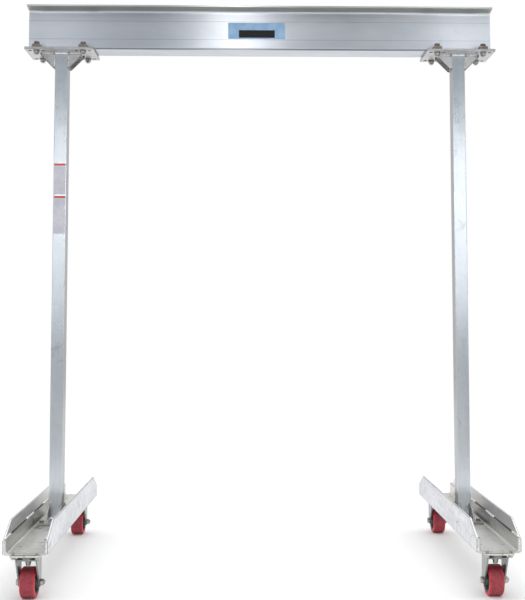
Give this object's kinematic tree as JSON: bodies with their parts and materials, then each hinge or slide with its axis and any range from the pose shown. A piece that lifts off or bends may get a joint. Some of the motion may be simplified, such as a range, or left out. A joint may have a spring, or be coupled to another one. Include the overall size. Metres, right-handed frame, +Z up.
{
  "type": "gantry crane",
  "caption": "Fixed-height aluminium gantry crane: an I-beam clamped on two square posts over channel bases with swivel casters.",
  "frame": {"origin": "on the floor, midway between the two posts, under the beam", "axes": "+X along the beam, +Y to the back, +Z up"},
  "size_m": [1.829, 1.0818, 2.157],
  "materials": {
    "beam_aluminium": "mill extruded",
    "tube_aluminium": "mill extruded",
    "plate_aluminium": "mill",
    "channel_aluminium": "mill extruded",
    "side_plate_aluminium": "mill, handled",
    "clamp_steel": "plain forged",
    "zinc_steel": "zinc plated",
    "caster_steel": "zinc plated",
    "core_iron": "dark green-grey paint",
    "red_tread": "moulded polyurethane"
  },
  "bodies": {
    "crane_frame": {"i_beam": "beam_aluminium", "left_top_plate": "plate_aluminium", "left_post": "tube_aluminium", "left_knee_gussets": "plate_aluminium", "left_beam_clamps": "clamp_steel", "left_clamp_bolts": "zinc_steel", "left_foot_plate": "plate_aluminium", "left_foot_gussets": "plate_aluminium", "left_foot_bolts": "zinc_steel", "left_base_channel": "channel_aluminium", "left_caster_bolts": "zinc_steel", "left_outer_side_plate": "side_plate_aluminium", "left_inner_side_plate": "side_plate_aluminium", "right_top_plate": "plate_aluminium", "right_post": "tube_aluminium", "right_knee_gussets": "plate_aluminium", "right_beam_clamps": "clamp_steel", "right_clamp_bolts": "zinc_steel", "right_foot_plate": "plate_aluminium", "right_foot_gussets": "plate_aluminium", "right_foot_bolts": "zinc_steel", "right_base_channel": "channel_aluminium", "right_caster_bolts": "zinc_steel", "right_outer_side_plate": "side_plate_aluminium", "right_inner_side_plate": "side_plate_aluminium", "front_left_caster_plate": "caster_steel", "rear_left_caster_plate": "caster_steel", "front_right_caster_plate": "caster_steel", "rear_right_caster_plate": "caster_steel"},
    "front_left_swivel": {"front_left_fork": "caster_steel", "front_left_axle": "zinc_steel"},
    "front_left_wheel": {"front_left_wheel_core": "core_iron", "front_left_tyre": "red_tread"},
    "rear_left_swivel": {"rear_left_fork": "caster_steel", "rear_left_axle": "zinc_steel"},
    "rear_left_wheel": {"rear_left_wheel_core": "core_iron", "rear_left_tyre": "red_tread"},
    "front_right_swivel": {"front_right_fork": "caster_steel", "front_right_axle": "zinc_steel"},
    "front_right_wheel": {"front_right_wheel_core": "core_iron", "front_right_tyre": "red_tread"},
    "rear_right_swivel": {"rear_right_fork": "caster_steel", "rear_right_axle": "zinc_steel"},
    "rear_right_wheel": {"rear_right_wheel_core": "core_iron", "rear_right_tyre": "red_tread"}
  },
  "joints": [
    {"name": "front_left_swivel_turn", "type": "hinge", "parent": "crane_frame", "child": "front_left_swivel", "pos_m": [-0.781, -0.474, 0.146], "axis": [0, 0, 1], "continuous": true},
    {"name": "front_left_wheel_spin", "type": "hinge", "parent": "front_left_swivel", "child": "front_left_wheel", "pos_m": [-0.781, -0.448, 0.0508], "axis": [1, 0, 0], "continuous": true},
    {"name": "rear_left_swivel_turn", "type": "hinge", "parent": "crane_frame", "child": "rear_left_swivel", "pos_m": [-0.781, 0.474, 0.146], "axis": [0, 0, 1], "continuous": true},
    {"name": "rear_left_wheel_spin", "type": "hinge", "parent": "rear_left_swivel", "child": "rear_left_wheel", "pos_m": [-0.781, 0.5, 0.0508], "axis": [1, 0, 0], "continuous": true},
    {"name": "front_right_swivel_turn", "type": "hinge", "parent": "crane_frame", "child": "front_right_swivel", "pos_m": [0.781, -0.474, 0.146], "axis": [0, 0, 1], "continuous": true},
    {"name": "front_right_wheel_spin", "type": "hinge", "parent": "front_right_swivel", "child": "front_right_wheel", "pos_m": [0.781, -0.448, 0.0508], "axis": [1, 0, 0], "continuous": true},
    {"name": "rear_right_swivel_turn", "type": "hinge", "parent": "crane_frame", "child": "rear_right_swivel", "pos_m": [0.781, 0.474, 0.146], "axis": [0, 0, 1], "continuous": true},
    {"name": "rear_right_wheel_spin", "type": "hinge", "parent": "rear_right_swivel", "child": "rear_right_wheel", "pos_m": [0.781, 0.5, 0.0508], "axis": [1, 0, 0], "continuous": true}
  ]
}
